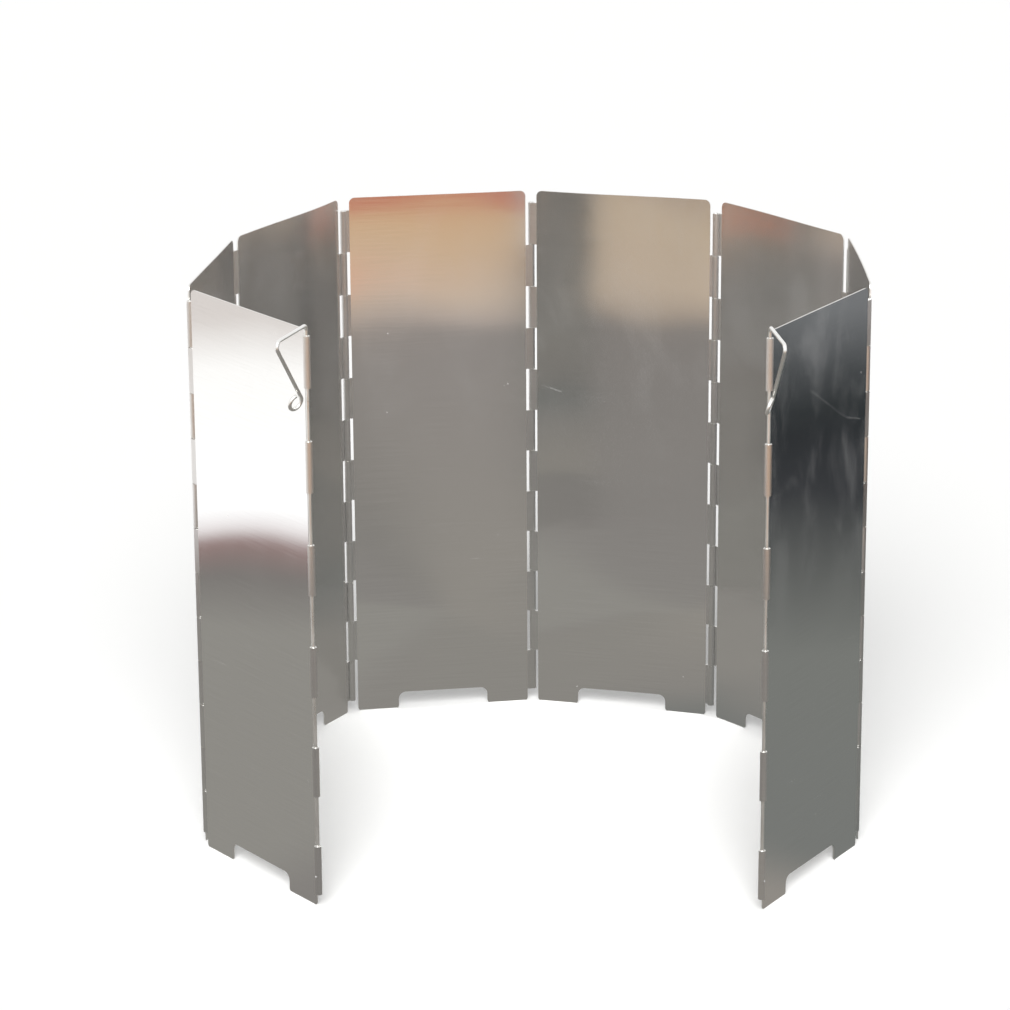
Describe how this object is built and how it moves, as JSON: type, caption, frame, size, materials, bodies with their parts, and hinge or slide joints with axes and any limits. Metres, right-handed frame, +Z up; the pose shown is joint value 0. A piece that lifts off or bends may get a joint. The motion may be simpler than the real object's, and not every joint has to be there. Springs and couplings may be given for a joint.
{
  "type": "stove windscreen",
  "caption": "Folding stove windscreen: tall sheet plates hinged on wire pins, with air notches between their feet and a swivelling wire clip on each end plate.",
  "frame": {"origin": "on the ground, under the middle of the outline of the standing screen with its clip wires", "axes": "+Z up, the open side of the ring towards -Y, +X to the right seen from the open side"},
  "size_m": [0.2738, 0.2738, 0.2429],
  "materials": {
    "aluminium_sheet": "mill-rolled, satin",
    "steel_wire": "bright drawn wire"
  },
  "bodies": {
    "front_left_panel": {"front_left_panel": "aluminium_sheet"},
    "left_panel": {"left_panel": "aluminium_sheet", "front_left_pin": "steel_wire"},
    "rear_left_panel": {"rear_left_panel": "aluminium_sheet", "left_pin": "steel_wire"},
    "centre_left_panel": {"centre_left_panel": "aluminium_sheet", "rear_left_pin": "steel_wire", "centre_pin": "steel_wire"},
    "centre_right_panel": {"centre_right_panel": "aluminium_sheet", "rear_right_pin": "steel_wire"},
    "rear_right_panel": {"rear_right_panel": "aluminium_sheet", "right_pin": "steel_wire"},
    "right_panel": {"right_panel": "aluminium_sheet", "front_right_pin": "steel_wire"},
    "front_right_panel": {"front_right_panel": "aluminium_sheet"},
    "left_clip_wire": {"left_clip_wire": "steel_wire"},
    "right_clip_wire": {"right_clip_wire": "steel_wire"}
  },
  "joints": [
    {"name": "centre_fold", "type": "hinge", "parent": "centre_left_panel", "child": "centre_right_panel", "pos_m": [0.00201, 0.13547, 0], "axis": [0, 0, 1], "range_deg": [0, 201]},
    {"name": "rear_left_fold", "type": "hinge", "parent": "centre_left_panel", "child": "rear_left_panel", "pos_m": [-0.0806, 0.12014, 0], "axis": [0, 0, 1], "range_deg": [0, 126]},
    {"name": "left_fold", "type": "hinge", "parent": "rear_left_panel", "child": "left_panel", "pos_m": [-0.12453, 0.0485, 0], "axis": [0, 0, -1], "range_deg": [0, 198]},
    {"name": "rear_right_fold", "type": "hinge", "parent": "centre_right_panel", "child": "rear_right_panel", "pos_m": [0.08258, 0.11158, 0], "axis": [0, 0, -1], "range_deg": [0, 139.5]},
    {"name": "right_fold", "type": "hinge", "parent": "rear_right_panel", "child": "right_panel", "pos_m": [0.13547, 0.04629, 0], "axis": [0, 0, 1], "range_deg": [0, 213]},
    {"name": "front_left_swing", "type": "hinge", "parent": "left_panel", "child": "front_left_panel", "pos_m": [-0.13547, -0.03481, 0], "axis": [0, 0, 1], "range_deg": [-147, 131]},
    {"name": "front_right_swing", "type": "hinge", "parent": "right_panel", "child": "front_right_panel", "pos_m": [0.13545, -0.03773, 0], "axis": [0, 0, -1], "range_deg": [-134.5, 143.5]},
    {"name": "left_clip_swivel", "type": "hinge", "parent": "front_left_panel", "child": "left_clip_wire", "pos_m": [-0.08551, -0.10237, 0], "axis": [0, 0, -1], "range_deg": [-179, 81]},
    {"name": "right_clip_swivel", "type": "hinge", "parent": "front_right_panel", "child": "right_clip_wire", "pos_m": [0.09157, -0.10939, 0], "axis": [0, 0, 1], "range_deg": [-161, 99]}
  ],
  "couplings": [
    {"joint": "rear_left_fold", "follows": "centre_fold", "ratio": 0.62687},
    {"joint": "left_fold", "follows": "centre_fold", "ratio": 0.98507},
    {"joint": "rear_right_fold", "follows": "centre_fold", "ratio": 0.69403},
    {"joint": "right_fold", "follows": "centre_fold", "ratio": 1.0597}
  ]
}
